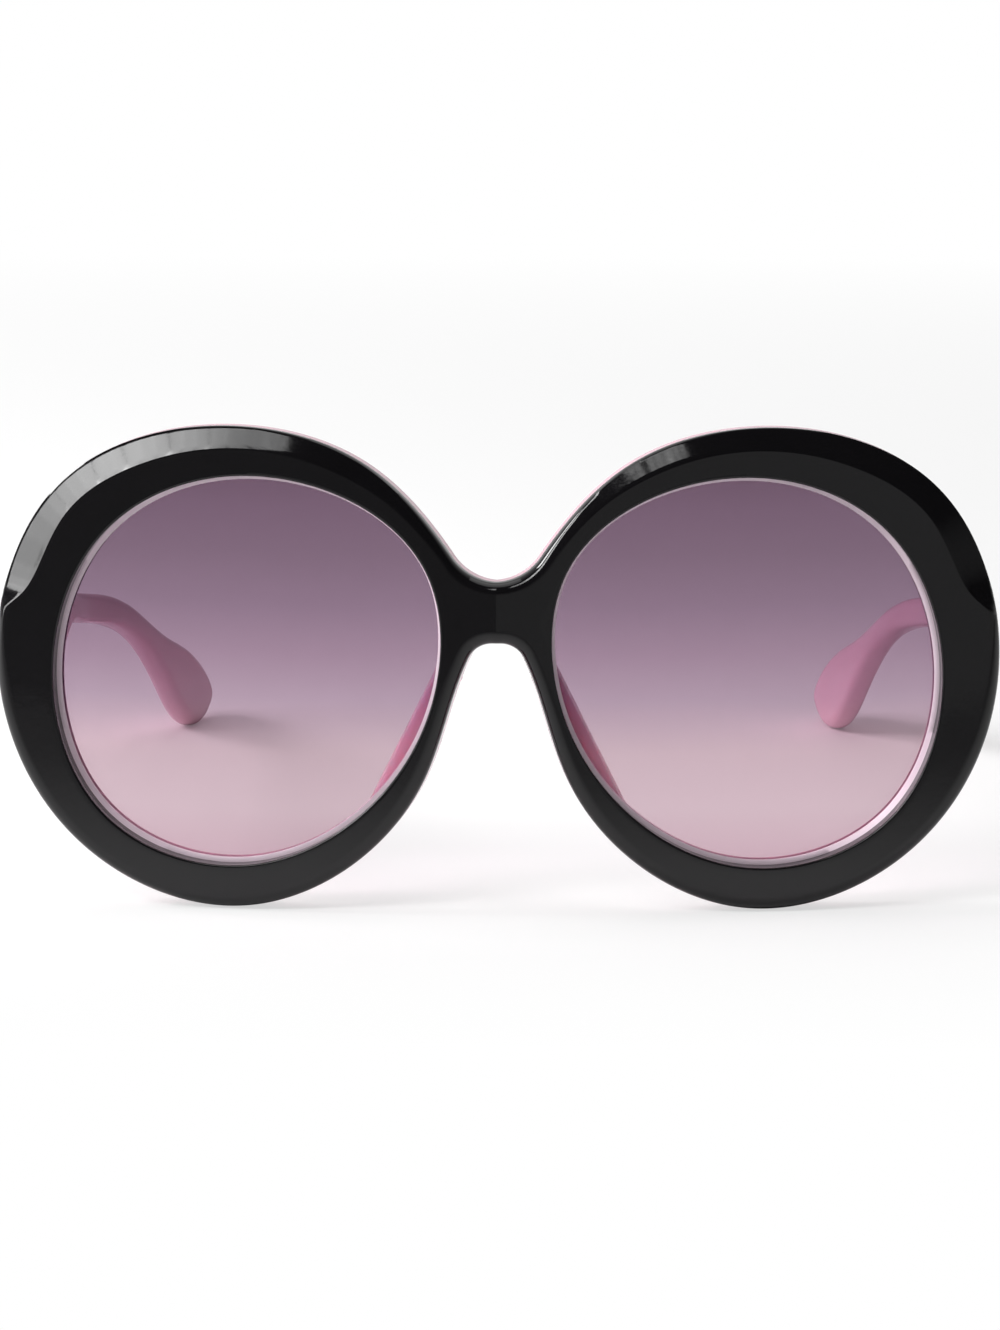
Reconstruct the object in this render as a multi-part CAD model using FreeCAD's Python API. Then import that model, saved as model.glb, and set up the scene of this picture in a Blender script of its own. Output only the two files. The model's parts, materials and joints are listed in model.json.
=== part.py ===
import FreeCAD, Part
import math
import os
from FreeCAD import Placement, Rotation, Vector

# Oversized sunglasses: X to the wearer's left, Y to the back, Z up, in millimetres

# Front before it is bent, the width between its lens openings, and the height of its lenses
FRONT_WIDTH = 152.6
BRIDGE_WIDTH = 17.8
LENS_CENTRE_HEIGHT = 35.5

# Lens opening of the front layer, as distances from the lens centre
OPENING_SIDE = 29.9
OPENING_SIDE_TOP = 30.5
OPENING_TOP = 30.1
OPENING_BRIDGE_TOP = 31.3
OPENING_BRIDGE = 28.7
OPENING_NOSE = 27.0
OPENING_BOTTOM = 28.9
OPENING_SIDE_BOTTOM = 31.0

# Width of the rim outside that opening
RIM_SIDE = 8.8
RIM_SIDE_TOP = 10.1
RIM_TOP = 7.2
RIM_BRIDGE_TOP = 5.6
RIM_NOSE = 3.9
RIM_BOTTOM = 6.5
RIM_SIDE_BOTTOM = 6.2

# Bridge: the dip between the brows and the arch over the nose
BRIDGE_DIP_RADIUS = 8.4
BRIDGE_DIP_ANGLE = 55.8
NOSE_ARCH_HEIGHT = 40.8
BRIDGE_DEPTH = 9.2
NOSE_ARCH_FLAT = 0.8
NOSE_ARCH_RADIUS = 3.9
NOSE_ARCH_SPLAY = 26.0

# Layers of the front, and how it is bent and stands
BLACK_LAYER = 2.9
LINER_LAYER = 3.3
BRIDGE_BEND = 6.0
LEAN_BACK = 4.0
FRONT_EDGE_ROUND = 1.8
BACK_EDGE_ROUND = 1.0

# Milled facet along the brow: width on the front face, from the end piece to the bridge
FACET_END = 3.4
FACET_WIDEST = 4.4
FACET_TOP = 3.2
FACET_BRIDGE = 1.4
FACET_RUN_OUT = 3.0
FACET_SLOPE = 30.0

# Lens and the groove that holds it
LIP = 0.75
LIP_THICKNESS = 0.65
LENS_THICKNESS = 1.8
LENS_CURVE_RADIUS = 176.0
GROOVE_DEPTH = 0.85
GROOVE_CLEARANCE = 0.05

# Nose pads, leaning outward to the back
PAD_DIRECTION = 206.5
PAD_FOOT_LENGTH = 27.0
PAD_FOOT_WIDTH = 3.8
PAD_BULGE_LENGTH = 25.6
PAD_BULGE_WIDTH = 3.6
PAD_BULGE_DEPTH = 3.9
PAD_CREST_LENGTH = 20.0
PAD_CREST_WIDTH = 1.6
PAD_CREST_DEPTH = 6.5
PAD_LEAN = 1.2
PAD_RAISE = 1.5

# Temple arm, seen from the side
TEMPLE_THICKNESS = 4.2
TEMPLE_ABOVE_PIVOT = 8.2
TEMPLE_BELOW_PIVOT = 8.8
FORE_BELLY = 1.4
EAR_BEND_START = 54.0
EAR_BEND_RADIUS = 60.0
EAR_BEND_IN = 15.5
EAR_WAIST = 4.8
NECK_LENGTH = 16.0
NECK_TOP = 6.6
TIP_LENGTH = 56.0
TIP_HEIGHT = 9.8
TIP_DROP = 13.2
TIP_BELLY = 0.9
TEMPLE_EDGE_ROUND = 1.2
END_GAP = 0.15

# Hinge: three barrels on the front, two on the temple
HINGE_HEIGHT = 39.0
HINGE_INSET = 1.4
HINGE_BEHIND = 2.2
BARREL_RADIUS = 1.5
BARREL_HEIGHT = 1.5
BARREL_GAP = 0.06
BARREL_TO_ARM = 0.25
LEAF_THICKNESS = 1.1
FRONT_LEAF_WIDTH = 4.9
LEAF_TO_GROOVE = 0.3
TEMPLE_LEAF_LENGTH = 12.0
ANCHOR_LENGTH = 3.0
SCREW_RADIUS = 0.7
SCREW_FIT = 0.04
SCREW_HEAD_RADIUS = 1.15
SCREW_HEAD_HEIGHT = 0.6
SCREW_SLOT = 0.3

# Stiffening wire inside the temple
WIRE_WIDTH = 2.2
WIRE_THICKNESS = 1.2

os.makedirs("parts", exist_ok=True)
FRONT_THICKNESS = BLACK_LAYER + LINER_LAYER
LENS_WIDENING = (FRONT_WIDTH / 2 - RIM_SIDE - BRIDGE_WIDTH / 2) / (OPENING_SIDE + OPENING_BRIDGE)
LENS_CENTRE_OUT = BRIDGE_WIDTH / 2 + OPENING_BRIDGE * LENS_WIDENING
ACROSS = Vector(1, 0, 0)
BACKWARD = Vector(0, 1, 0)
UP = Vector(0, 0, 1)
LENS_CENTRE = Vector(LENS_CENTRE_OUT, 0, LENS_CENTRE_HEIGHT)


def toward(angle, distance, centre=LENS_CENTRE):
    """A point at a direction from the lens centre: 0 is outward, 90 is up, 180 is to the bridge."""
    turn = math.radians(angle)
    return centre + Vector(distance * math.cos(turn), 0, distance * math.sin(turn))


def beside_lens(angle, distance, beyond):
    """A point beyond the lens opening, which widens with the front while its rim stays as it is."""
    edge = toward(angle, distance) - LENS_CENTRE
    return toward(angle, beyond) + Vector(edge.x * LENS_WIDENING, 0, edge.z)


def closed_curve(points):
    curve = Part.BSplineCurve()
    curve.interpolate(Points=points, PeriodicFlag=True)
    return curve.toShape()


def open_curve(points, start, end):
    """Curve of even curvature through the points that leaves and arrives in the given directions."""
    spans = [(b - a).Length for a, b in zip(points, points[1:])]
    slopes = [(b - a) * (1 / span) for a, b, span in zip(points, points[1:], spans)]
    tangents = [start] + slopes[1:] + [end]
    for settle in range(60):
        for i in range(1, len(spans)):
            before, after = spans[i - 1], spans[i]
            pull = (slopes[i - 1] * after + slopes[i] * before) * 3
            pull = pull - tangents[i - 1] * after - tangents[i + 1] * before
            tangents[i] = pull * (1 / (2 * (before + after)))
    poles = [points[0]]
    knots = [0.0]
    for i, span in enumerate(spans):
        poles.append(points[i] + tangents[i] * (span / 3))
        poles.append(points[i + 1] - tangents[i + 1] * (span / 3))
        knots.append(knots[-1] + span)
    poles.append(points[-1])
    mults = [4] + [2] * (len(knots) - 2) + [4]
    curve = Part.BSplineCurve()
    curve.buildFromPolesMultsKnots(poles, mults, knots, False, 3)
    for i in range(2, len(knots)):
        curve.removeKnot(i, 1, 0.001)
    return curve.toShape()


def slab(edges, near, far, along=BACKWARD):
    face = Part.Face(Part.Wire(edges))
    face.translate(along * near)
    return face.extrude(along * (far - near))


def block(x0, x1, y0, y1, z0, z1):
    return Part.makeBox(x1 - x0, y1 - y0, z1 - z0, Vector(x0, y0, z0))


def opening(extra, near, far):
    """The lens outline grown by a margin, as a straight block through the front."""
    sides = [
        (0, OPENING_SIDE),
        (45, OPENING_SIDE_TOP),
        (90, OPENING_TOP),
        (150, OPENING_BRIDGE_TOP),
        (180, OPENING_BRIDGE),
        (212, OPENING_NOSE),
        (270, OPENING_BOTTOM),
        (315, OPENING_SIDE_BOTTOM),
    ]
    points = [beside_lens(angle, distance, extra) for angle, distance in sides]
    return slab([closed_curve(points)], near, far)


def half_outline():
    """Outer edge of one half of the front, closed by a straight line at the middle of the bridge."""
    dip = math.radians(BRIDGE_DIP_ANGLE)
    splay = math.radians(NOSE_ARCH_SPLAY)
    dip_low = Vector(0, 0, NOSE_ARCH_HEIGHT + BRIDGE_DEPTH)
    dip_centre = dip_low + UP * BRIDGE_DIP_RADIUS
    dip_mid = dip_centre + Vector(math.sin(dip / 2), 0, -math.cos(dip / 2)) * BRIDGE_DIP_RADIUS
    dip_end = dip_centre + Vector(math.sin(dip), 0, -math.cos(dip)) * BRIDGE_DIP_RADIUS
    arch_top = Vector(0, 0, NOSE_ARCH_HEIGHT)
    arch_flat = Vector(NOSE_ARCH_FLAT, 0, NOSE_ARCH_HEIGHT)
    arch_centre = arch_flat - UP * NOSE_ARCH_RADIUS
    half_turn = (math.pi / 2 + splay) / 2
    arch_mid = arch_centre + Vector(math.cos(half_turn), 0, math.sin(half_turn)) * NOSE_ARCH_RADIUS
    arch_end = arch_centre + Vector(math.cos(splay), 0, math.sin(splay)) * NOSE_ARCH_RADIUS
    rim = [
        dip_end,
        beside_lens(120, (OPENING_TOP + OPENING_BRIDGE_TOP) / 2, RIM_BRIDGE_TOP),
        beside_lens(90, OPENING_TOP, RIM_TOP),
        beside_lens(45, OPENING_SIDE_TOP, RIM_SIDE_TOP),
        beside_lens(0, OPENING_SIDE, RIM_SIDE),
        beside_lens(-45, OPENING_SIDE_BOTTOM, RIM_SIDE_BOTTOM),
        beside_lens(-90, OPENING_BOTTOM, RIM_BOTTOM),
        beside_lens(-148, OPENING_NOSE, RIM_NOSE),
        arch_end,
    ]
    return [
        Part.Arc(dip_low, dip_mid, dip_end).toShape(),
        open_curve(
            rim,
            Vector(math.cos(dip), 0, math.sin(dip)),
            Vector(-math.sin(splay), 0, math.cos(splay)),
        ),
        Part.Arc(arch_end, arch_mid, arch_flat).toShape(),
        Part.makeLine(arch_flat, arch_top),
        Part.makeLine(arch_top, dip_low),
    ]


def outer_edges_at(solid, depth):
    """Edges of the outer outline at one depth, without those at the middle of the bridge."""
    found = []
    for edge in solid.Edges:
        box = edge.BoundBox
        flat = abs(box.YMin - depth) < 0.01 and abs(box.YMax - depth) < 0.01
        if flat and box.XMax > 0.1:
            found.append(edge)
    return found


def reach(angle):
    """Distance from the lens centre to the outer edge in one direction."""
    aim = toward(angle, 1) - LENS_CENTRE
    spots = [point - LENS_CENTRE for edge in outline for point in edge.discretize(200)]
    return min(spots, key=lambda spot: spot.getAngle(aim)).Length


def facet_line(depth):
    """Where the brow facet meets one depth: it runs in from the end piece and out at the bridge."""
    spread = depth / math.tan(math.radians(FACET_SLOPE))
    widths = [
        (6, -FACET_RUN_OUT),
        (18, FACET_END),
        (27, FACET_WIDEST),
        (60, (FACET_WIDEST + FACET_TOP) / 2),
        (90, FACET_TOP),
        (120, (FACET_TOP + FACET_BRIDGE) / 2),
        (140, FACET_BRIDGE),
        (156, -FACET_RUN_OUT),
    ]
    points = [toward(angle, reach(angle) - width + spread) for angle, width in widths]
    line = Part.BSplineCurve()
    line.interpolate(Points=points)
    first = points[0] + ACROSS * RIM_SIDE_TOP
    last = points[-1] + UP * LENS_CENTRE_HEIGHT
    above = Vector(first.x, 0, last.z)
    wire = Part.Wire([
        line.toShape(),
        Part.makeLine(points[-1], last),
        Part.makeLine(last, above),
        Part.makeLine(above, first),
        Part.makeLine(first, points[0]),
    ])
    wire.translate(BACKWARD * depth)
    return wire


def lens_shell(front_depth, thickness):
    """Spherical shell that passes a given depth at the lens edge."""
    edge = OPENING_SIDE * LENS_WIDENING
    sag = LENS_CURVE_RADIUS - math.sqrt(LENS_CURVE_RADIUS ** 2 - edge ** 2)
    middle = LENS_CENTRE + BACKWARD * (front_depth - sag + LENS_CURVE_RADIUS)
    outer = Part.makeSphere(LENS_CURVE_RADIUS, middle)
    return outer.cut(Part.makeSphere(LENS_CURVE_RADIUS - thickness, middle))


# Black layer of one half: rounded outside, facet milled along the brow
outline = half_outline()
black = slab(outline, 0, BLACK_LAYER)
black = black.makeFillet(FRONT_EDGE_ROUND, outer_edges_at(black, 0))
facet = Part.makeLoft([facet_line(-BLACK_LAYER), facet_line(BLACK_LAYER)], True, True)
black = black.cut(facet)
black = black.cut(opening(0, -BLACK_LAYER, 2 * BLACK_LAYER))

# Pink layer of one half, with the lip in front of the lens and the groove behind it
liner = slab(outline, BLACK_LAYER, FRONT_THICKNESS)
liner = liner.makeFillet(BACK_EDGE_ROUND, outer_edges_at(liner, FRONT_THICKNESS))
liner = liner.cut(opening(-LIP, 0, 2 * FRONT_THICKNESS))
lens_depth = BLACK_LAYER + LIP_THICKNESS
lens_blank = opening(GROOVE_DEPTH - LIP, -FRONT_THICKNESS, 2 * FRONT_THICKNESS)
lens = lens_blank.common(lens_shell(lens_depth, LENS_THICKNESS))
groove_shell = lens_shell(lens_depth - GROOVE_CLEARANCE, LENS_THICKNESS + 2 * GROOVE_CLEARANCE)
groove = opening(GROOVE_DEPTH - LIP + GROOVE_CLEARANCE, -FRONT_THICKNESS, 2 * FRONT_THICKNESS)
groove = groove.common(groove_shell)
liner = liner.cut(groove)


# Nose pad of one half, seated on the back of the liner
def pad_ring(length, width, depth, shift):
    """Outline of the pad at one depth: a bar with round ends beside the lens opening."""
    across = toward(PAD_DIRECTION, 1) - LENS_CENTRE
    along = BACKWARD.cross(across)
    middle = beside_lens(PAD_DIRECTION, OPENING_NOSE, -LIP / 2 - shift) + along * PAD_RAISE + BACKWARD * depth
    out = across * (width / 2)
    end = along * ((length - width) / 2)
    tip = along * (length / 2)
    return Part.Wire([
        Part.makeLine(middle - end + out, middle + end + out),
        Part.Arc(middle + end + out, middle + tip, middle + end - out).toShape(),
        Part.makeLine(middle + end - out, middle - end - out),
        Part.Arc(middle - end - out, middle - tip, middle - end + out).toShape(),
    ])


pad_rings = [
    pad_ring(PAD_FOOT_LENGTH, PAD_FOOT_WIDTH, FRONT_THICKNESS - BACK_EDGE_ROUND / 2, 0),
    pad_ring(PAD_BULGE_LENGTH, PAD_BULGE_WIDTH, FRONT_THICKNESS + PAD_BULGE_DEPTH, PAD_LEAN / 2),
    pad_ring(PAD_CREST_LENGTH, PAD_CREST_WIDTH, FRONT_THICKNESS + PAD_CREST_DEPTH, PAD_LEAN),
]
nose_pad = Part.makeLoft(pad_rings, True)
nose_pad = nose_pad.cut(liner)

# Stand the front: bend each half at the bridge, lean it back, rest the rims on the floor
bend = Rotation(UP, BRIDGE_BEND)
lean = Rotation(ACROSS, -LEAN_BACK)


def turned(shape, rotation, shift=Vector()):
    moved = shape.copy()
    moved.Placement = Placement(shift, rotation).multiply(moved.Placement)
    return moved


def mirrored(shape):
    return shape.mirror(Vector(), ACROSS)


def joined_halves(half):
    bent = turned(half, bend)
    width = 2 * LENS_CENTRE_OUT
    height = 4 * LENS_CENTRE_HEIGHT
    bent = bent.cut(block(-width, 0, -width, width, -height, height))
    return bent.fuse(mirrored(bent)).removeSplitter()


front = turned(joined_halves(black), lean)
layers = [front, turned(liner, lean * bend)]
raised = UP * -min(layer.optimalBoundingBox(False).ZMin for layer in layers)
front = turned(front, Rotation(), raised)
rim_out = FRONT_WIDTH / 2
pivot_out = rim_out - HINGE_INSET - TEMPLE_THICKNESS - BARREL_TO_ARM - BARREL_RADIUS
pivot_in_front = Vector(pivot_out, FRONT_THICKNESS + HINGE_BEHIND, HINGE_HEIGHT)
pivot = lean.multVec(bend.multVec(pivot_in_front)) + raised

# Temple arm in its own frame: hinge pivot at zero, Y along the arm
arm_face = BARREL_RADIUS + BARREL_TO_ARM
arm_middle = arm_face + TEMPLE_THICKNESS / 2
before_front = -FRONT_THICKNESS
waist_low = TEMPLE_ABOVE_PIVOT - EAR_WAIST
tip_top = TIP_HEIGHT - TIP_DROP
tip_back = EAR_BEND_START + TIP_LENGTH
tip_full = tip_back - TIP_HEIGHT / 2
neck_back = EAR_BEND_START + NECK_LENGTH
neck_low = NECK_TOP - EAR_WAIST
paddle_back = (neck_back + tip_full) / 2
paddle_top = (NECK_TOP + tip_top) / 2
paddle_low = (neck_low - TIP_DROP) / 2 - TIP_BELLY


def side(back, up):
    return Vector(0, back, up)


def flat_length(edges):
    """Flat length of the arm with its long edges rounded."""
    flat = slab(edges, arm_face, arm_face + TEMPLE_THICKNESS, ACROSS)
    long_edges = [edge for edge in flat.Edges if edge.BoundBox.YLength > 1]
    return flat.makeFillet(TEMPLE_EDGE_ROUND, long_edges)


def behind_bend(shape):
    """Carry a straight length round the inward bend at the ear."""
    moved = shape.copy()
    moved.rotate(Vector(arm_face - EAR_BEND_RADIUS, EAR_BEND_START, 0), UP, EAR_BEND_IN)
    return moved


def bent_bar(x, z, width, height, corner):
    """Bar of constant section round the inward bend."""
    bar = Part.makeBox(width, 1, height, Vector(x, EAR_BEND_START, z))
    if corner > 0:
        bar = bar.makeFillet(corner, [edge for edge in bar.Edges if edge.BoundBox.YLength > 0.5])
    start = [face for face in bar.Faces if face.BoundBox.YMax < EAR_BEND_START + 0.001][0]
    return start.revolve(Vector(arm_face - EAR_BEND_RADIUS, EAR_BEND_START, 0), UP, EAR_BEND_IN)


fore = flat_length([
    Part.makeLine(side(before_front, TEMPLE_ABOVE_PIVOT), side(EAR_BEND_START, TEMPLE_ABOVE_PIVOT)),
    Part.makeLine(side(EAR_BEND_START, TEMPLE_ABOVE_PIVOT), side(EAR_BEND_START, waist_low)),
    open_curve(
        [
            side(EAR_BEND_START, waist_low),
            side(EAR_BEND_START / 2, (waist_low - TEMPLE_BELOW_PIVOT) / 2 - FORE_BELLY),
            side(before_front, -TEMPLE_BELOW_PIVOT),
        ],
        -BACKWARD,
        -BACKWARD,
    ),
    Part.makeLine(side(before_front, -TEMPLE_BELOW_PIVOT), side(before_front, TEMPLE_ABOVE_PIVOT)),
])
tip = flat_length([
    open_curve(
        [
            side(EAR_BEND_START, TEMPLE_ABOVE_PIVOT),
            side(neck_back, NECK_TOP),
            side(paddle_back, paddle_top),
            side(tip_full, tip_top),
            side(tip_back, tip_top - TIP_HEIGHT / 2),
            side(tip_full, -TIP_DROP),
            side(paddle_back, paddle_low),
            side(neck_back, neck_low),
            side(EAR_BEND_START, waist_low),
        ],
        BACKWARD,
        -BACKWARD,
    ),
    Part.makeLine(side(EAR_BEND_START, waist_low), side(EAR_BEND_START, TEMPLE_ABOVE_PIVOT)),
])
bend_bar = bent_bar(arm_face, waist_low, TEMPLE_THICKNESS, EAR_WAIST, TEMPLE_EDGE_ROUND)
arm = fore.fuse(bend_bar).fuse(behind_bend(tip)).removeSplitter()


# The arm slopes so that its tip rests on the same floor as the rims
outline_points = [point for edge in arm.Edges for point in edge.discretize(80)]


def tip_height(slope):
    turn = math.radians(slope)
    return pivot.z + min(p.z * math.cos(turn) - p.y * math.sin(turn) for p in outline_points)


low, high = 0.0, 30.0
for step in range(50):
    slope = (low + high) / 2
    if tip_height(slope) > 0:
        low = slope
    else:
        high = slope
hang = Rotation(ACROSS, -slope)


# Hinge stack: slots of the five barrels along the pivot
stack = 5 * BARREL_HEIGHT + 4 * BARREL_GAP


def barrel_slot(index):
    return -stack / 2 + index * (BARREL_HEIGHT + BARREL_GAP)


bore = Part.makeCylinder(SCREW_RADIUS + SCREW_FIT, 2 * stack, Vector(0, 0, -stack))

# Leaf on the temple: two barrels, a plate flush with the arm and an anchor that meets the wire
temple_leaf = block(
    arm_face, arm_face + LEAF_THICKNESS, -BARREL_RADIUS / 2, TEMPLE_LEAF_LENGTH, -stack / 2, stack / 2
)
temple_leaf = temple_leaf.fuse(
    block(
        arm_face,
        arm_middle + WIRE_THICKNESS / 2,
        TEMPLE_LEAF_LENGTH - ANCHOR_LENGTH,
        TEMPLE_LEAF_LENGTH,
        -WIRE_WIDTH,
        WIRE_WIDTH,
    )
)
for index in (1, 3):
    base = barrel_slot(index)
    temple_leaf = temple_leaf.fuse(Part.makeCylinder(BARREL_RADIUS, BARREL_HEIGHT, Vector(0, 0, base)))
    temple_leaf = temple_leaf.fuse(
        block(0, arm_face + LEAF_THICKNESS, -BARREL_RADIUS / 2, BARREL_RADIUS, base, base + BARREL_HEIGHT)
    )
temple_leaf = temple_leaf.cut(bore).removeSplitter()


# Wire inside the arm, from the anchor round the bend toward the tip
def wire_bar(points, start, end):
    above = [p + UP * (WIRE_WIDTH / 2) for p in points]
    below = [p - UP * (WIRE_WIDTH / 2) for p in points]
    edges = [
        open_curve(above, start, end),
        Part.makeLine(above[-1], below[-1]),
        open_curve(below, start, end),
        Part.makeLine(below[0], above[0]),
    ]
    return slab(edges, arm_middle - WIRE_THICKNESS / 2, arm_middle + WIRE_THICKNESS / 2, ACROSS)


waist_middle = TEMPLE_ABOVE_PIVOT - EAR_WAIST / 2
wire_neck = side(neck_back, NECK_TOP - EAR_WAIST / 2)
wire_end = side(paddle_back, (paddle_top + paddle_low) / 2)
fore_wire = wire_bar(
    [side(TEMPLE_LEAF_LENGTH, 0), side(EAR_BEND_START, waist_middle)], BACKWARD, BACKWARD
)
tip_wire = wire_bar(
    [side(EAR_BEND_START, waist_middle), wire_neck, wire_end],
    BACKWARD,
    (wire_end - wire_neck).normalize(),
)
bend_wire = bent_bar(
    arm_middle - WIRE_THICKNESS / 2, waist_middle - WIRE_WIDTH / 2, WIRE_THICKNESS, WIRE_WIDTH, 0
)
wire = fore_wire.fuse(bend_wire).fuse(behind_bend(tip_wire)).removeSplitter()

# The arm is hollowed for the leaf and the wire
arm = arm.cut(temple_leaf).cut(wire)

# Screw along the pivot, head on the top barrel
screw = Part.makeCylinder(SCREW_RADIUS, stack, Vector(0, 0, -stack / 2))
screw = screw.fuse(Part.makeCylinder(SCREW_HEAD_RADIUS, SCREW_HEAD_HEIGHT, Vector(0, 0, stack / 2)))
slot_floor = stack / 2 + SCREW_HEAD_HEIGHT / 2
slot = block(
    -2 * SCREW_HEAD_RADIUS,
    2 * SCREW_HEAD_RADIUS,
    -SCREW_SLOT / 2,
    SCREW_SLOT / 2,
    slot_floor,
    slot_floor + SCREW_HEAD_HEIGHT,
)
screw = screw.cut(slot).removeSplitter()

# Bring the hinge and arm to the pivot
arm = turned(arm, hang, pivot)
temple_leaf = turned(temple_leaf, hang, pivot)
wire = turned(wire, hang, pivot)
screw = turned(screw, hang, pivot)
front_zone = block(
    LENS_CENTRE_OUT,
    2 * rim_out,
    -rim_out,
    FRONT_THICKNESS + END_GAP,
    -LENS_CENTRE_HEIGHT,
    4 * LENS_CENTRE_HEIGHT,
)
arm = arm.cut(turned(front_zone, lean * bend, raised))

# Leaf on the front: a plate sunk flush into the liner, and three barrels behind it
leaf_half = stack / 2 + LEAF_THICKNESS
leaf_in = rim_out - RIM_SIDE + GROOVE_DEPTH - LIP + GROOVE_CLEARANCE + LEAF_TO_GROOVE
sunk_plate = block(
    leaf_in,
    leaf_in + FRONT_LEAF_WIDTH,
    FRONT_THICKNESS - LEAF_THICKNESS,
    FRONT_THICKNESS,
    HINGE_HEIGHT - leaf_half,
    HINGE_HEIGHT + leaf_half,
)
front_leaf = turned(sunk_plate, lean * bend, raised)
web_front = -HINGE_BEHIND - LEAF_THICKNESS / 2
for index in (0, 2, 4):
    base = barrel_slot(index)
    barrel = Part.makeCylinder(BARREL_RADIUS, BARREL_HEIGHT, Vector(0, 0, base))
    web = block(-BARREL_RADIUS / 2, BARREL_RADIUS, web_front, 0, base, base + BARREL_HEIGHT)
    front_leaf = front_leaf.fuse(turned(barrel.fuse(web), hang, pivot))
front_leaf = front_leaf.cut(turned(bore, hang, pivot)).removeSplitter()

# Whole liner with both hinge plates let in
liner_whole = turned(joined_halves(liner), lean, raised)
liner_whole = liner_whole.cut(front_leaf).cut(mirrored(front_leaf))
lens = turned(lens, lean * bend, raised)
nose_pad = turned(nose_pad, lean * bend, raised)

nodes = {
    "front_frame": front,
    "frame_liner": liner_whole,
    "hinge_screws": Part.makeCompound([screw, mirrored(screw)]),
}
for name, shape in [
    ("lens", lens),
    ("nose_pad", nose_pad),
    ("front_hinge_leaf", front_leaf),
    ("temple_arm", arm),
    ("temple_hinge_leaf", temple_leaf),
    ("temple_core_wire", wire),
]:
    nodes["left_" + name] = shape
    nodes["right_" + name] = mirrored(shape)

# Middle of the depth at Y zero, then one file per piece
front_most = front.optimalBoundingBox(False).YMin
back_most = arm.optimalBoundingBox(False).YMax
to_middle = Vector(0, -(front_most + back_most) / 2, 0)
for name, shape in nodes.items():
    placed = turned(shape, Rotation(), to_middle)
    placed.exportStep("parts/" + name + ".step")
    print(name, placed.isValid(), len(placed.Solids), round(placed.Volume, 2))
hinge = pivot + to_middle
axis = hang.multVec(UP)
print("hinge", [round(v, 4) for v in hinge], "axis", [round(v, 5) for v in axis], "slope", round(slope, 3))
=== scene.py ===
# %% [markdown]
# Round oversized sunglasses stand open on a white table. Their front is cut from a sheet of
# two bonded layers, glossy black over pink, and the side arms are pink right through. The
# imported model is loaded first. It gives every piece its place, so nothing is fitted by eye.

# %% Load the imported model
import json
import math
from bisect import bisect_right

import bmesh
import bpy
from mathutils import Matrix, Vector


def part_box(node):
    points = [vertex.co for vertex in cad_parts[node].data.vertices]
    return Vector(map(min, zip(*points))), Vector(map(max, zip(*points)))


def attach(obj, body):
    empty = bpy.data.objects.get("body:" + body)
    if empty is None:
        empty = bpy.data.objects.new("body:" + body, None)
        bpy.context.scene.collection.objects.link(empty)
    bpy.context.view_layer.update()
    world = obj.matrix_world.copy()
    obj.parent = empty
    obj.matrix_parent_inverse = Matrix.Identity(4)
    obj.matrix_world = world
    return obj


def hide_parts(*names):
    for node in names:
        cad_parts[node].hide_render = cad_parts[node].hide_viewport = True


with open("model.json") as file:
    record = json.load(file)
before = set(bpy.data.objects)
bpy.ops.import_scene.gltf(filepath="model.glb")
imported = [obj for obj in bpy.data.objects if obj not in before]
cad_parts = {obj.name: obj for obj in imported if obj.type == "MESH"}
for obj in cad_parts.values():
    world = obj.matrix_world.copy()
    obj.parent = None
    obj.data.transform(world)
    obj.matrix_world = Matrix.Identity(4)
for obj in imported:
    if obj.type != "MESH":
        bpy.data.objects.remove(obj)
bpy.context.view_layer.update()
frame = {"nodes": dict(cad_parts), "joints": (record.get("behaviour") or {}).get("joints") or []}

MM = 0.001
print("pieces in the packed model:", len(frame["nodes"]))

# %% [markdown]
# The front is drawn flat before it is bent, as a frame maker draws it: each half is measured
# from the middle of its lens. A few distances say how the rim runs, and one smooth line goes
# through them. A hand-drawn curve could do the same, but numbers keep the drawn line and the
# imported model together.

# %% Helpers for drawn lines, in millimetres
LENS_OUT, LENS_UP = 37.6, 35.5
SETTLE_ROUNDS = 60


def from_lens(angle, distance):
    """Flat point seen from the lens centre: 0 is outward, 90 is up, 180 is to the bridge."""
    turn = math.radians(angle)
    return Vector((LENS_OUT + distance * math.cos(turn), LENS_UP + distance * math.sin(turn)))


def smooth_line(points, steps, ends=None):
    """Line of even curvature through the points: closed, or open with both end directions given."""
    count = len(points)
    spans = count if ends is None else count - 1
    gaps = [points[(i + 1) % count] - points[i] for i in range(spans)]
    lengths = [gap.length for gap in gaps]
    slopes = [gap / length for gap, length in zip(gaps, lengths)]
    tangents = slopes[:] if ends is None else [ends[0]] + slopes[1:] + [ends[1]]
    inside = range(count) if ends is None else range(1, count - 1)
    for settle in range(SETTLE_ROUNDS):
        for i in inside:
            before, after = lengths[i - 1], lengths[i]
            pull = 3 * (slopes[i - 1] * after + slopes[i] * before)
            pull = pull - tangents[i - 1] * after - tangents[(i + 1) % count] * before
            tangents[i] = pull / (2 * (before + after))
    line = []
    for i in range(spans):
        start, stop = points[i], points[(i + 1) % count]
        leave, arrive = tangents[i] * lengths[i], tangents[(i + 1) % count] * lengths[i]
        for step in range(steps):
            t = step / steps
            line.append(
                start * (2 * t**3 - 3 * t**2 + 1)
                + leave * (t**3 - 2 * t**2 + t)
                + stop * (3 * t**2 - 2 * t**3)
                + arrive * (t**3 - t**2)
            )
    return line if ends is None else line + [points[-1]]


def arc(centre, radius, start, stop, steps):
    turns = [math.radians(start + (stop - start) * i / steps) for i in range(steps + 1)]
    return [centre + Vector((math.cos(t), math.sin(t))) * radius for t in turns]


print("lens centre, out from the middle and up:", LENS_OUT, LENS_UP)

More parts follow.
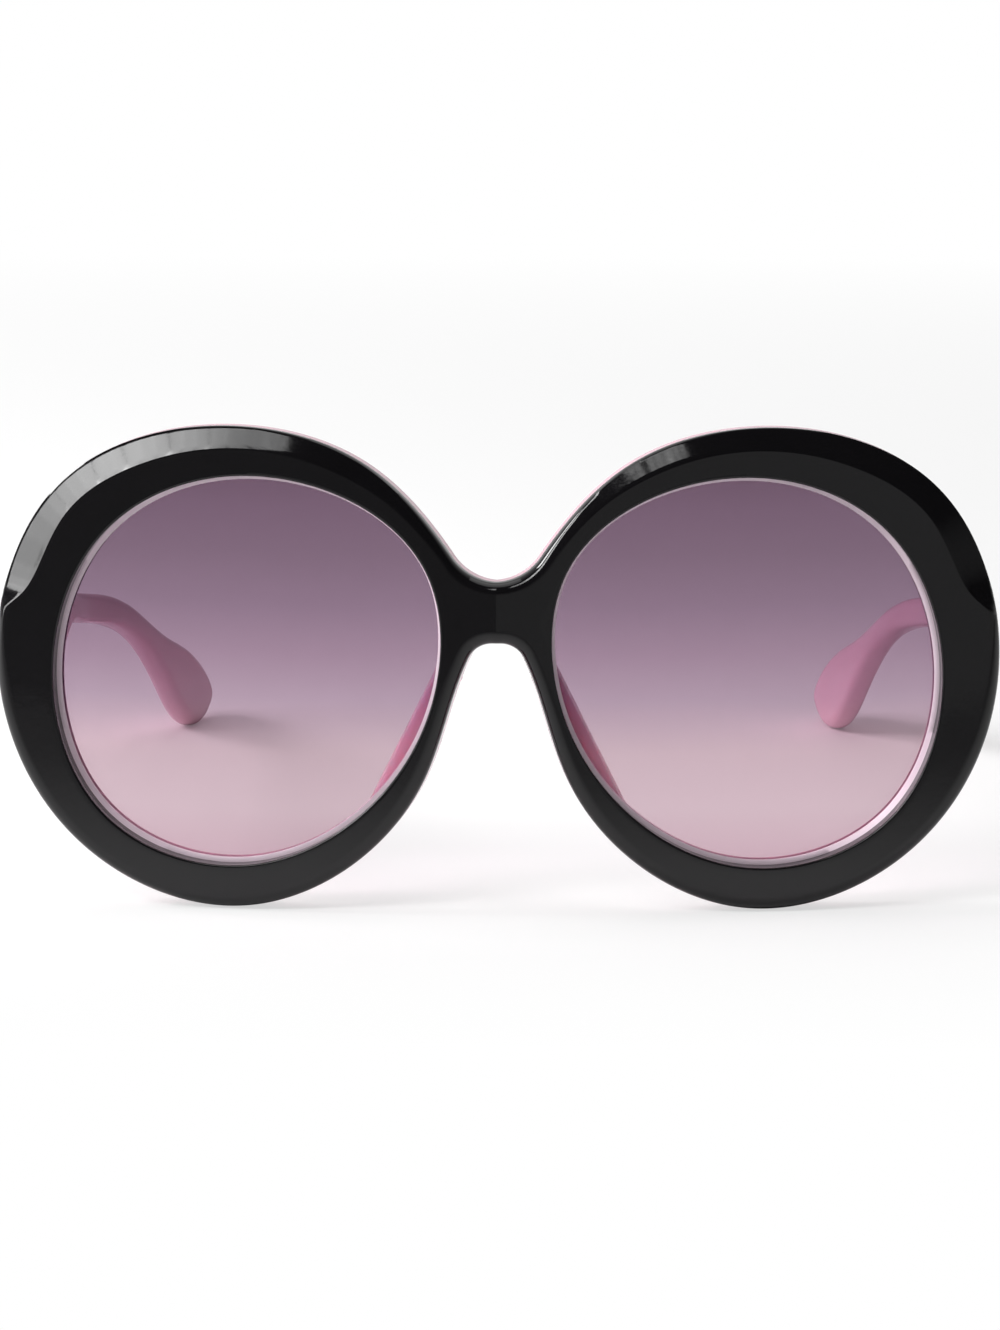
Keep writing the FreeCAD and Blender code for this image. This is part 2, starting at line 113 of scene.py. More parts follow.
# %% Outline of one half of the front
RIM = [(120, 36.3), (90, 37.3), (45, 40.6), (0, 38.7), (-45, 37.2), (-90, 35.4), (-148, 30.9)]
ARCH_UP, BRIDGE_TALL = 40.8, 9.2
DIP_RADIUS, DIP_TURN = 8.4, 55.8
ARCH_FLAT, ARCH_RADIUS, ARCH_SPLAY = 0.8, 3.9, 26.0
PAST_MIDDLE = -1.0
ARC_STEPS, RIM_STEPS = 16, 32


def outline_of_half():
    """Outer edge from the middle of the bridge over the brow, round the rim and up the nose."""
    dip_low = ARCH_UP + BRIDGE_TALL
    dip = arc(Vector((0, dip_low + DIP_RADIUS)), DIP_RADIUS, -90, DIP_TURN - 90, ARC_STEPS)
    arch_middle = Vector((ARCH_FLAT, ARCH_UP - ARCH_RADIUS))
    arch = arc(arch_middle, ARCH_RADIUS, ARCH_SPLAY, 90, ARC_STEPS)
    leave, splay = math.radians(DIP_TURN), math.radians(ARCH_SPLAY)
    ends = (
        Vector((math.cos(leave), math.sin(leave))),
        Vector((-math.sin(splay), math.cos(splay))),
    )
    stations = [dip[-1]] + [from_lens(a, r) for a, r in RIM] + [arch[0]]
    rim = smooth_line(stations, RIM_STEPS, ends)
    first = [Vector((PAST_MIDDLE, dip_low))]
    last = [Vector((0, ARCH_UP)), Vector((PAST_MIDDLE, ARCH_UP))]
    return first + dip[:-1] + rim[:-1] + arch + last


outline = outline_of_half()
print("points along half the outline:", len(outline))

# %% [markdown]
# The lens opening is drawn in the same way, as one closed line. Later steps ask for its radius in
# a given direction, so the line is kept as a sorted table that is read between two entries. The
# direction that points out of the outline is kept too, because the rounded edge follows it.

# %% Lens opening, and directions along the drawing
OPENING = [
    (0, 29.9), (45, 30.5), (90, 30.1), (150, 31.3),
    (180, 28.7), (212, 27.0), (270, 28.9), (315, 31.0),
]
OPENING_STEPS = 60


def outward(line, i):
    ahead = line[min(i + 1, len(line) - 1)] - line[max(i - 1, 0)]
    return Vector((-ahead.y, ahead.x)).normalized()


def angle_of(point):
    turn = math.degrees(math.atan2(point.y - LENS_UP, point.x - LENS_OUT))
    return turn % 360


def read_off(table, angle):
    """Value between the two nearest entries of a sorted table of (angle, value)."""
    i = max(1, min(len(table) - 1, bisect_right(table, (angle, 1e9))))
    (a, p), (b, q) = table[i - 1], table[i]
    return p + (q - p) * (angle - a) / (b - a)


outward_at = [outward(outline, i) for i in range(len(outline))]
lens_centre = Vector((LENS_OUT, LENS_UP))
opening_line = smooth_line([from_lens(a, r) for a, r in OPENING], OPENING_STEPS)
opening_table = sorted((angle_of(p), (p - lens_centre).length) for p in opening_line)
opening_table = [(opening_table[-1][0] - 360, opening_table[-1][1])] + opening_table
opening_table.append((opening_table[1][0] + 360, opening_table[1][1]))


def opening_radius(angle):
    return read_off(opening_table, angle % 360)


print("opening radius outward, up, to the bridge, down:",
      [round(opening_radius(a), 2) for a in (0, 90, 180, 270)])

# %% [markdown]
# Every curved piece here is made in the same way: a circle is added, its edge is extruded ring
# by ring, and each new ring is put on its drawn line. A modeller pulling loops outward does the
# same. Extruding keeps the faces four-sided and in rows, and those rows are what makes a long
# reflection run clean along polished acetate.

# %% Helpers that extrude a piece ring by ring
TOUCHING = 1e-7
CIRCLE_RADIUS = 0.03


def rest_selection():
    if bpy.context.object and bpy.context.object.mode != "OBJECT":
        bpy.ops.object.mode_set(mode="OBJECT")
    bpy.ops.object.select_all(action="DESELECT")


def pick(piece):
    """Selects one piece alone and makes it the active one."""
    rest_selection()
    bpy.context.view_layer.objects.active = piece
    piece.select_set(True)


def key(co):
    return tuple(round(c, 8) for c in co)


def first_ring(name, ring):
    """Adds a circle and lays its corners on the first ring."""
    rest_selection()
    bpy.ops.mesh.primitive_circle_add(vertices=len(ring), radius=CIRCLE_RADIUS)
    piece = bpy.context.object
    piece.name = name
    piece.data.name = name
    for corner, point in zip(piece.data.vertices, ring):
        corner.co = point * MM
    bpy.ops.object.mode_set(mode="EDIT")
    bpy.ops.mesh.select_mode(type="EDGE")
    bpy.ops.mesh.select_all(action="SELECT")
    return piece


def next_ring(piece, old, new):
    """Extrudes the selected edges and moves each new corner from its old place to its new one."""
    bpy.ops.mesh.extrude_edges_indiv()
    shape = bmesh.from_edit_mesh(piece.data)
    goes_to = {key(a * MM): b * MM for a, b in zip(old, new)}
    for corner in shape.verts:
        if corner.select:
            corner.co = goes_to[key(corner.co)]
    bmesh.update_edit_mesh(piece.data)


def keep_selected(piece, points):
    """Leaves only the edges selected whose two ends are both among the points."""
    shape = bmesh.from_edit_mesh(piece.data)
    wanted = {key(p * MM) for p in points}
    for edge in shape.edges:
        edge.select_set(edge.select and all(key(v.co) in wanted for v in edge.verts))
    bmesh.update_edit_mesh(piece.data)


def closed_up(fill=True):
    """Merges doubles, closes what is open and turns every face outward."""
    bpy.ops.mesh.select_mode(type="VERT")
    bpy.ops.mesh.select_all(action="SELECT")
    bpy.ops.mesh.remove_doubles(threshold=TOUCHING)
    if fill:
        bpy.ops.mesh.fill_holes(sides=0)
    bpy.ops.mesh.select_all(action="SELECT")
    bpy.ops.mesh.normals_make_consistent(inside=False)


print("ring helpers ready")

# %% Helpers that finish a piece
BROAD_FACES = 80


def apply_modifier(piece, kind, **settings):
    pick(piece)
    step = piece.modifiers.new(kind.title(), kind)
    for name, value in settings.items():
        setattr(step, name, value)
    bpy.ops.object.modifier_apply(modifier=step.name)


def polish(piece, angle):
    """Smooth shading, crisp above an angle, with broad faces keeping their own direction."""
    pick(piece)
    bpy.ops.object.shade_smooth_by_angle(angle=math.radians(angle), keep_sharp_edges=True)
    apply_modifier(piece, "WEIGHTED_NORMAL", keep_sharp=True, weight=BROAD_FACES)


def measured(piece):
    size = [round(v / MM, 1) for v in piece.dimensions]
    return f"{piece.name}: {len(piece.data.polygons)} faces, {size} mm"


print("finishing helpers ready")

# %% [markdown]
# The flat half is bent at the bridge, cut at the middle, mirrored and leaned back. The hinge
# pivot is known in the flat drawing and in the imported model, and the difference says how far the
# front is lifted. The rotate operator turns the other way when Blender runs without a window, so
# the angles carry the opposite sign here.

# %% Standing the front up
BLACK_LAYER, FRONT_THICK = 2.9, 6.2
BEND, LEAN = 6.0, 4.0
PIVOT_FLAT = Vector((68.95, 8.4, 39.0))
hinge = next(j for j in frame["joints"] if j["name"] == "left_temple_fold")
pivot = Vector(hinge["pos_m"]) / MM
hinge_axis = Vector(hinge["axis"]).normalized()


def bent_and_leaned(p):
    b, l = math.radians(BEND), math.radians(LEAN)
    x, y = p.x * math.cos(b) - p.y * math.sin(b), p.x * math.sin(b) + p.y * math.cos(b)
    return Vector((x, y * math.cos(l) + p.z * math.sin(l), p.z * math.cos(l) - y * math.sin(l)))


front_shift = pivot - bent_and_leaned(PIVOT_FLAT)


def bend_half():
    bpy.ops.transform.rotate(value=-math.radians(BEND), orient_axis="Z", center_override=(0, 0, 0))


def lean_back():
    bpy.ops.transform.rotate(value=math.radians(LEAN), orient_axis="X", center_override=(0, 0, 0))
    bpy.ops.transform.translate(value=front_shift * MM)


def at_depth(flat, depth):
    return Vector((flat.x, depth, flat.y))


print("front lifted by", [round(v, 3) for v in front_shift])

# %% [markdown]
# The black layer: a polished rim with a rounded outer edge, and a flat facet milled along the brow
# from the end piece to the bridge. How wide the facet is comes from the photograph in a few
# directions. At each place the surface is whichever lies deeper, the rounding or the facet, so the
# facet fades out by itself where it leaves the rim.

# %% Facet along the brow
EDGE_ROUND, FACET_SLOPE = 1.8, 30.0
CREASE_LEAST, CREASE_GAP, FACE_MARGIN = 0.35, 0.1, 0.35
FACET = [
    (-30, -3.0), (8, -1.8), (11.9, 0.0), (14.9, 1.4), (18, 3.0), (22, 4.1), (26, 4.45),
    (39, 4.1), (60, 3.9), (75, 3.5), (90, 3.15), (105, 3.0), (118, 2.7), (130, 2.0),
    (140, 1.6), (150, 1.3), (158, 0.8), (166, -1.0), (210, -3.0),
]
FACET_STEPS, FACET_END = 12, 210
facet_line = smooth_line([Vector(p) for p in FACET], FACET_STEPS, (Vector((1, 0)), Vector((1, 0))))
facet_table = sorted((p.x, p.y) for p in facet_line)


def facet_width(point):
    angle = angle_of(point)
    return read_off(facet_table, angle - 360 if angle > FACET_END else angle)


def black_depth(inward, width):
    rounding = 0.0
    if inward < EDGE_ROUND:
        rounding = EDGE_ROUND - math.sqrt(EDGE_ROUND**2 - (EDGE_ROUND - inward) ** 2)
    milled_painted_sheen = (width - inward) * math.tan(math.radians(FACET_SLOPE))
    return max(rounding, milled_painted_sheen, 0.0)


widths = [facet_width(p) for p in outline]
crease = [max(w, CREASE_LEAST) for w in widths]
face_edge = [max(EDGE_ROUND, c) + FACE_MARGIN for c in crease]
print("facet at its widest:", round(max(widths), 2), "mm")

# %% Rings round the lens opening
BRIDGE_STEPS = 12
TURN_LEAST = 0.1


def inset(i, distance, depth):
    return at_depth(outline[i] - outward_at[i] * distance, depth)


def edge_chain(distance, depth):
    """Open row of points along the outline, at one distance inside it."""
    return [inset(i, distance, depth) for i in range(len(outline))]


def closed_ring(chain):
    """A chain that a straight run closes at the middle of the bridge."""
    top, low = chain[0], chain[-1]
    return chain + [low.lerp(top, k / BRIDGE_STEPS) for k in range(1, BRIDGE_STEPS)]


def turns_round(like):
    """Directions of a ring's points from the lens centre. Above the nose they would turn back
    and fold the rows over, so from there on they are spread evenly."""
    turns = [angle_of(Vector((p.x, p.z))) for p in like]
    for i in range(1, len(turns)):
        while turns[i] > turns[i - 1] + 180:
            turns[i] -= 360
    later = range(len(turns) // 2, len(turns) - 1)
    last = next(i for i in later if turns[i + 1] > turns[i] - TURN_LEAST)
    rest = len(turns) - last
    for k in range(1, rest):
        turns[last + k] = turns[last] + (turns[0] - 360 - turns[last]) * k / rest
    return turns


def opening_ring(like, grow, depth):
    """Ring on the lens opening, one point for each point of another ring."""
    return [at_depth(from_lens(t, opening_radius(t) + grow), depth) for t in turns_round(like)]


def rings_between(first, second, shares):
    return [[a.lerp(b, share) for a, b in zip(first, second)] for share in shares]


face_outer = closed_ring([inset(i, face_edge[i], 0.0) for i in range(len(outline))])
print("points in a ring:", len(face_outer))

# %% Rings of the black layer
OPENING_BEVEL = 0.35
BEVEL_CURVE = [(0.0, 1.0), (0.1, 0.55), (0.3, 0.27), (0.6, 0.08)]
BAND_PLACES = (0.1, 0.2, 0.3, 0.4, 0.4999, 0.5, 0.6, 0.7, 0.79, 0.87, 0.93, 0.97)
EDGE_LAND = 0.08
face_inner = opening_ring(face_outer, OPENING_BEVEL, 0.0)
black_closed = [closed_ring(edge_chain(0.0, BLACK_LAYER)), opening_ring(face_outer, 0.0, BLACK_LAYER)]
for out, deep in BEVEL_CURVE:
    black_closed.append(opening_ring(face_outer, out * OPENING_BEVEL, deep * OPENING_BEVEL))
black_closed.append(face_inner)
black_closed += rings_between(face_inner, face_outer, (0.2, 0.4, 0.6, 0.8))
black_closed.append(face_outer)


def black_band(place):
    """Chain along the outer edge. The place counts from 0 at the face to 1 at the very edge."""
    chain = []
    for i in range(len(outline)):
        if place < 0.5:
            distance = face_edge[i] + (crease[i] + CREASE_GAP - face_edge[i]) * place / 0.5
        else:
            distance = (crease[i] - CREASE_GAP) * (1 - place) / 0.5
        chain.append(inset(i, distance, black_depth(distance, widths[i])))
    return chain


black_open = [black_band(place) for place in BAND_PLACES]
black_open.append([inset(i, 0.0, black_depth(0.0, widths[i]) + EDGE_LAND) for i in range(len(outline))])
black_open.append(edge_chain(0.0, BLACK_LAYER))
print("rings of the black layer:", len(black_closed) + len(black_open))

# %% [markdown]
# Both layers of the front go the same way from their rings: the closed rings are extruded first, then
# the open chains along the outer edge, so that the straight run at the bridge stays behind. The half
# is cut exactly at the middle, which lets the mirrored half join without a gap. The line where the
# halves meet is marked sharp, because the two faces of a bent front meet there at an angle.

# %% One layer of the front from its rings
MIDDLE, MIRROR_MERGE = 1e-6, 1e-5
FRONT_CRISP = 35


def front_layer(name, closed, opened):
    piece = first_ring(name, closed[0])
    for old, new in zip(closed, closed[1:]):
        next_ring(piece, old, new)
    chain = closed[-1][: len(outline)]
    keep_selected(piece, chain)
    for new in opened:
        next_ring(piece, chain, new)
        chain = new
    closed_up(fill=False)
    bend_half()
    bpy.ops.mesh.bisect(plane_co=(0, 0, 0), plane_no=(1, 0, 0), clear_inner=True, threshold=TOUCHING)
    bpy.ops.object.mode_set(mode="OBJECT")
    apply_modifier(piece, "MIRROR", use_clip=True, merge_threshold=MIRROR_MERGE)
    bpy.ops.object.mode_set(mode="EDIT")
    closed_up(fill=False)
    lean_back()
    bpy.ops.mesh.select_mode(type="EDGE")
    bpy.ops.mesh.select_all(action="DESELECT")
    shape = bmesh.from_edit_mesh(piece.data)
    for edge in shape.edges:
        edge.select_set(all(abs(v.co.x) < MIDDLE for v in edge.verts))
    bmesh.update_edit_mesh(piece.data)
    bpy.ops.mesh.mark_sharp()
    bpy.ops.object.mode_set(mode="OBJECT")
    polish(piece, FRONT_CRISP)
    return piece


black_front = front_layer("black_front", black_closed, black_open)
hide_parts("front_frame")
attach(black_front, "front")
print(measured(black_front))

# %% [markdown]
# The pink layer lies behind it. A narrow lip slopes from the seam to the face of the lens and shows as
# a pink ring round it, and behind the lip runs the groove that the lens snaps into. The groove hardly
# shows, but the lens needs room, so it is extruded as four more rings on the way to the back face.

# %% Lip and groove of the pink layer
LIP, LIP_THICK, GROOVE, GROOVE_PLAY = 0.75, 0.65, 0.85, 0.05
LENS_THICK, LENS_CURVE = 1.8, 176.0
lens_bow = LENS_CURVE - math.sqrt(LENS_CURVE**2 - OPENING[0][1] ** 2)
lens_middle = BLACK_LAYER + LIP_THICK - lens_bow + LENS_CURVE
seam = BLACK_LAYER + 0.01


def lens_front(radius):
    return lens_middle - math.sqrt(LENS_CURVE**2 - radius**2)


def lens_back(radius):
    return lens_middle - math.sqrt((LENS_CURVE - LENS_THICK) ** 2 - radius**2)


def groove_ring(like, grow, side, play):
    ring = []
    for angle in turns_round(like):
        radius = opening_radius(angle)
        ring.append(at_depth(from_lens(angle, radius + grow), side(radius) + play))
    return ring


def lip_ring(like, grow, share):
    """Ring on the sloping lip, a share of the way from the seam to the face of the lens."""
    ring = []
    for angle in turns_round(like):
        radius = opening_radius(angle)
        depth = seam + (lens_front(radius) - GROOVE_PLAY - seam) * share
        ring.append(at_depth(from_lens(angle, radius + grow), depth))
    return ring


print("lens bow:", round(lens_bow, 2), "mm")

# %% Rings of the pink layer
BACK_ROUND = 1.0
LIP_CURVE = [(0.07, 0.72), (0.02, 0.78), (0.0, 0.86)]
BACK_LIP = 0.45
BACK_LIP_CURVE = [(0.0, 0.45), (0.06, 0.22), (0.22, 0.06)]
liner_outer = closed_ring(edge_chain(BACK_ROUND, FRONT_THICK))
liner_closed = [closed_ring(edge_chain(0.0, seam)), opening_ring(liner_outer, 0.0, seam)]
liner_closed += [lip_ring(liner_outer, out - LIP, share) for out, share in LIP_CURVE]
in_groove = GROOVE - LIP + GROOVE_PLAY
liner_closed += [
    groove_ring(liner_outer, -LIP, lens_front, -GROOVE_PLAY),
    groove_ring(liner_outer, in_groove, lens_front, -GROOVE_PLAY),
    groove_ring(liner_outer, in_groove, lens_back, GROOVE_PLAY),
    groove_ring(liner_outer, -LIP, lens_back, GROOVE_PLAY),
]
liner_closed += [opening_ring(liner_outer, out - LIP, FRONT_THICK - deep) for out, deep in BACK_LIP_CURVE]
back_inner = opening_ring(liner_outer, BACK_LIP - LIP, FRONT_THICK)
liner_closed.append(back_inner)
liner_closed += rings_between(back_inner, liner_outer, (0.25, 0.5, 0.75))
liner_closed.append(liner_outer)
liner_open = []
for turn in range(15, 91, 15):
    t = math.radians(turn)
    distance, rise = BACK_ROUND * (1 - math.sin(t)), BACK_ROUND * (1 - math.cos(t))
    liner_open.append(edge_chain(distance, FRONT_THICK - rise))
liner_open.append(edge_chain(0.0, seam))
pink_liner = front_layer("pink_liner", liner_closed, liner_open)
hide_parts("frame_liner")
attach(pink_liner, "front")
print(measured(pink_liner))

# %% [markdown]
# Lenses, nose pads and arms come in pairs. The left one is modelled from its rings, and the right one
# is a copy with its own mesh, turned over at the middle. A live mirror would be shorter to write, but
# the two pieces have to stay apart, since the arms move on their own.

# %% Helpers for pieces that come in pairs
PAIR_CRISP = 40


def whole_of(name, rings):
    piece = first_ring(name, rings[0])
    for old, new in zip(rings, rings[1:]):
        next_ring(piece, old, new)
    closed_up()
    return piece


def mirrored_copy(piece, name):
    """A copy for the other side, with its own mesh."""
    pick(piece)
    bpy.ops.object.duplicate()
    copy = bpy.context.object
    copy.name = name
    copy.data.name = name
    bpy.ops.object.mode_set(mode="EDIT")
    bpy.ops.mesh.select_all(action="SELECT")
    bpy.ops.transform.resize(value=(-1, 1, 1), center_override=(0, 0, 0))
    bpy.ops.mesh.normals_make_consistent(inside=False)
    bpy.ops.object.mode_set(mode="OBJECT")
    return copy


def finish_pair(left, nodes, bodies):
    right = mirrored_copy(left, left.name.replace("left", "right"))
    for piece, node, body in zip((left, right), nodes, bodies):
        polish(piece, PAIR_CRISP)
        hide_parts(node)
        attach(piece, body)
        print(measured(piece))
    return [left, right]


print("pair helpers ready")

# %% [markdown]
# Each lens is a thin shell cut from a large ball, so straight things behind it barely move. Its
# rings start at a dot in the middle, run out over the front, turn over a small bevel at the edge
# and come back over the rear face.

# %% Lenses
LENS_POINTS, LENS_BEVEL = 180, 0.2
LENS_SHARES = (0.02, 0.1, 0.2, 0.3, 0.4, 0.5, 0.6, 0.7, 0.8, 0.9)


def lens_ring(share, side, lift=0.0, cut=0.0):
    ring = []
    for k in range(LENS_POINTS):
        angle = k * 360 / LENS_POINTS
        edge = opening_radius(angle) + GROOVE - LIP - cut
        ring.append(at_depth(from_lens(angle, edge * share), side(edge * share) + lift))
    return ring


lens_rings = [lens_ring(share, lens_front) for share in LENS_SHARES]
lens_rings += [
    lens_ring(1.0, lens_front, cut=LENS_BEVEL),
    lens_ring(1.0, lens_front, lift=LENS_BEVEL),
    lens_ring(1.0, lens_back, lift=-LENS_BEVEL),
    lens_ring(1.0, lens_back, cut=LENS_BEVEL),
]
lens_rings += [lens_ring(share, lens_back) for share in reversed(LENS_SHARES)]
left_lens = whole_of("left_tinted_lens", lens_rings)
bend_half()
lean_back()
bpy.ops.object.mode_set(mode="OBJECT")
lenses = finish_pair(left_lens, ("left_lens", "right_lens"), ("front", "front"))

# %% [markdown]
# The nose pads are long pink ridges bonded to the back of the liner, with a straight side that shows
# through the lens. They lean outward as the nose widens. Their rings are bars with round ends that
# shrink towards a rounded crest, and the foot flares a little, as a glued and polished joint does.

# %% Nose pads
PAD_DIRECTION, PAD_MIDDLE, PAD_RAISE = 206.5, 26.625, 1.5
PAD_SECTIONS = [(-0.5, 27.0, 3.8, 0.0), (3.9, 25.6, 3.6, 0.6), (6.5, 20.0, 1.6, 1.2)]
PAD_FOOT = [(-0.5, 0.0), (0.0, -0.14), (0.3, -0.05), (0.8, 0.0)]
PAD_SIDE = [(0.5 * k, 0.0) for k in range(3, 12)]
PAD_CREST = [(5.9, 0.06), (6.2, 0.16), (6.4, 0.32), (6.48, 0.5), (6.5, 0.7)]
PAD_END_STEPS, PAD_SIDE_STEPS = 16, 12


def pad_section(depth):
    """Length, width and lean of the pad at a depth behind the front, on a curve through three."""
    values = [0.0, 0.0, 0.0]
    for i, (at, *known) in enumerate(PAD_SECTIONS):
        weight = 1.0
        for j, (other, *rest) in enumerate(PAD_SECTIONS):
            if j != i:
                weight *= (depth - other) / (at - other)
        values = [v + weight * k for v, k in zip(values, known)]
    return values


def pad_ring(depth, shrink):
    """Bar with round ends: half a turn at each end and a straight run between them."""
    length, width, lean = pad_section(depth)
    half, straight = width / 2 - shrink, (length - width) / 2
    across = from_lens(PAD_DIRECTION, 1) - from_lens(PAD_DIRECTION, 0)
    along = Vector((across.y, -across.x))
    middle = from_lens(PAD_DIRECTION, PAD_MIDDLE - lean) + along * PAD_RAISE
    ring = []
    for end in (1, -1):
        for k in range(PAD_END_STEPS + 1):
            t = math.radians(k * 180 / PAD_END_STEPS - 90)
            reach = along * (straight + half * math.cos(t)) + across * half * math.sin(t)
            ring.append(middle + reach * end)
        far = middle + (across * half - along * straight) * end
        ring += [ring[-1].lerp(far, k / PAD_SIDE_STEPS) for k in range(1, PAD_SIDE_STEPS)]
    return [at_depth(p, FRONT_THICK + depth) for p in ring]


pad_rings = [pad_ring(depth, shrink) for depth, shrink in PAD_FOOT + PAD_SIDE + PAD_CREST]
left_pad = whole_of("left_bridge_pad", pad_rings)
bend_half()
lean_back()
bpy.ops.object.mode_set(mode="OBJECT")
pads = finish_pair(left_pad, ("left_nose_pad", "right_nose_pad"), ("front", "front"))

# %% [markdown]
# A temple arm is a flat bar of pink acetate: deep at the hinge, slim over the ear, with a rounded
# paddle behind it and an inward bend where the paddle starts. It is drawn from the side as a top
# and a bottom line, and a section with rounded corners is carried along the pair. A box with a bevel
# would be quicker, but its corners could not grow rounder towards the paddle.

# %% Side view of the arm, with the hinge pivot at zero
BACKWARD = Vector((1, 0))
ARM_TOP, EAR_AT = 8.2, 54.0
FORE_LOW = [(-6.2, -8.8), (27, -4.1), (EAR_AT, 3.4)]
PADDLE = [
    (EAR_AT, ARM_TOP), (70, 6.6), (87.55, 1.6), (105.1, -3.4), (110, -8.3),
    (105.1, -13.2), (87.55, -6.6), (70, 1.8), (EAR_AT, 3.4),
]
FORE_STEPS, PADDLE_STEPS = 28, 18
fore_low = smooth_line([Vector(p) for p in FORE_LOW], FORE_STEPS, (BACKWARD, BACKWARD))
paddle = smooth_line([Vector(p) for p in PADDLE], PADDLE_STEPS, (BACKWARD, -BACKWARD))
half_way = len(paddle) // 2
paddle_top = paddle[:half_way]
paddle_low = list(reversed(paddle[half_way + 1:]))
print("points along the arm's lower line:", len(fore_low) + len(paddle_low))

# %% Sections along the arm
ARM_FACE, ARM_THICK, ARM_ROUND, PADDLE_ROUND = 1.75, 4.2, 1.2, 1.85
CORNER_TURNS = (0, 18, 36, 54, 72, 90)
WALL_SHARES = (0.25, 0.5, 0.75)
EAR_RADIUS, EAR_TURN, EAR_STEPS = 60.0, 15.5, 8
UP = Vector((0, 1))


def arm_section(top, low, top_out, low_out, r=ARM_ROUND):
    """Rounded section between a top and a bottom point, as (across, along, up)."""
    inner, outer = ARM_FACE, ARM_FACE + ARM_THICK
    turns = [math.radians(t) for t in CORNER_TURNS]
    ring = []

    def corner(point, out, side, sign, order):
        for t in order:
            flat = point - out * r * (1 - math.sin(t))
            ring.append(Vector((side - sign * r * (1 - math.cos(t)), flat.x, flat.y)))

    def wall():
        a, b = ring[-1], low - low_out * r
        if ring[-1].x > (inner + outer) / 2:
            b = top - top_out * r
        for share in WALL_SHARES:
            ring.append(a.lerp(Vector((a.x, b.x, b.y)), share))

    corner(top, top_out, outer, 1, turns)
    corner(top, top_out, inner, -1, reversed(turns))
    wall()
    corner(low, low_out, inner, -1, turns)
    corner(low, low_out, outer, 1, reversed(turns))
    wall()
    return ring


def round_the_ear(p, degrees):
    t, pole = math.radians(degrees), Vector((ARM_FACE - EAR_RADIUS, EAR_AT))
    x, y = p.x - pole.x, p.y - pole.y
    turned_x = pole.x + x * math.cos(t) - y * math.sin(t)
    return Vector((turned_x, pole.y + x * math.sin(t) + y * math.cos(t), p.z))


arm_rings = []
for i, low in enumerate(fore_low):
    arm_rings.append(arm_section(Vector((low.x, ARM_TOP)), low, UP, -outward(fore_low, i)))
ear = arm_rings[-1]
for step in range(1, EAR_STEPS + 1):
    arm_rings.append([round_the_ear(p, EAR_TURN * step / EAR_STEPS) for p in ear])
for i in range(1, len(paddle_top)):
    top_out, low_out = outward(paddle_top, i), -outward(paddle_low, i)
    r = ARM_ROUND + (PADDLE_ROUND - ARM_ROUND) * min(1.0, 3 * i / len(paddle_top))
    section = arm_section(paddle_top[i], paddle_low[i], top_out, low_out, r)
    arm_rings.append([round_the_ear(p, EAR_TURN) for p in section])
print("sections along the arm:", len(arm_rings))

# %% [markdown]
# The bar is hung on its hinge and then cut to length against the back of the front, as it would be on
# the bench. The cut follows the bent and leaned front, so the gap is even, and its edge gets a narrow
# bevel, which catches a little light.

# %% Arms hung on their hinges and cut to length
END_GAP, END_BEVEL = 0.15, 0.15
left_arm = whole_of("left_side_arm", arm_rings)
slope = math.atan2(hinge_axis.y, hinge_axis.z)
bpy.ops.transform.rotate(value=slope, orient_axis="X", center_override=(0, 0, 0))
bpy.ops.transform.translate(value=pivot * MM)
cut_at = bent_and_leaned(Vector((LENS_OUT, FRONT_THICK + END_GAP, LENS_UP))) + front_shift
cut_normal = bent_and_leaned(Vector((0, 1, 0)))
bpy.ops.mesh.select_all(action="SELECT")
bpy.ops.mesh.bisect(plane_co=cut_at * MM, plane_no=cut_normal, clear_inner=True, use_fill=True)
bpy.ops.mesh.bevel(offset=END_BEVEL * MM, segments=2, affect="EDGES")
bpy.ops.mesh.select_all(action="SELECT")
bpy.ops.mesh.normals_make_consistent(inside=False)
bpy.ops.object.mode_set(mode="OBJECT")
arm_nodes = ("left_temple_arm", "right_temple_arm")
arms = finish_pair(left_arm, arm_nodes, ("left_temple", "right_temple"))
packed_low, packed_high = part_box("left_temple_arm")
print("packed arm:", [round((b - a) / MM, 1) for a, b in zip(packed_low, packed_high)], "mm")

# %% [markdown]
# The finishes are node materials. One small class wraps a socket, so that a mask can be written as
# a sum or a product in Python, and each sign adds the Math node that it stands for. Any other node
# comes from one method, which sets the node up and joins its sockets.

# %% Sockets as Python values
class Socket:
    """An output of a node tree that can be used in sums and products."""

    def __init__(self, tree, plug=None):
        self.tree = tree
        self.plug = plug

    def node(self, kind, settings=None, sockets=None, output=0):
        made = self.tree.nodes.new(kind)
        for name, value in (settings or {}).items():
            if name == "stops":
                ramp = made.color_ramp.elements
                while len(ramp) < len(value):
                    ramp.new(1.0)
                for stop, (place, colour) in zip(ramp, value):
                    stop.position = place
                    stop.color = colour
            else:
                setattr(made, name, value)
        for name, value in (sockets or {}).items():
            if isinstance(value, Socket):
                self.tree.links.new(value.plug, made.inputs[name])
            else:
                made.inputs[name].default_value = value
        return Socket(self.tree, made.outputs[output]) if made.outputs else made

    def beside(self, name):
        """Another output of the same node."""
        return Socket(self.tree, self.plug.node.outputs[name])

    def maths(self, operation, a, b):
        return self.node("ShaderNodeMath", {"operation": operation}, {0: a, 1: b})

    def __add__(self, other):
        return self.maths("ADD", self, other)

    def __radd__(self, other):
        return self.maths("ADD", other, self)

    def __sub__(self, other):
        return self.maths("SUBTRACT", self, other)

    def __rsub__(self, other):
        return self.maths("SUBTRACT", other, self)

    def __mul__(self, other):
        return self.maths("MULTIPLY", self, other)

    def __rmul__(self, other):
        return self.maths("MULTIPLY", other, self)


print("socket class ready")

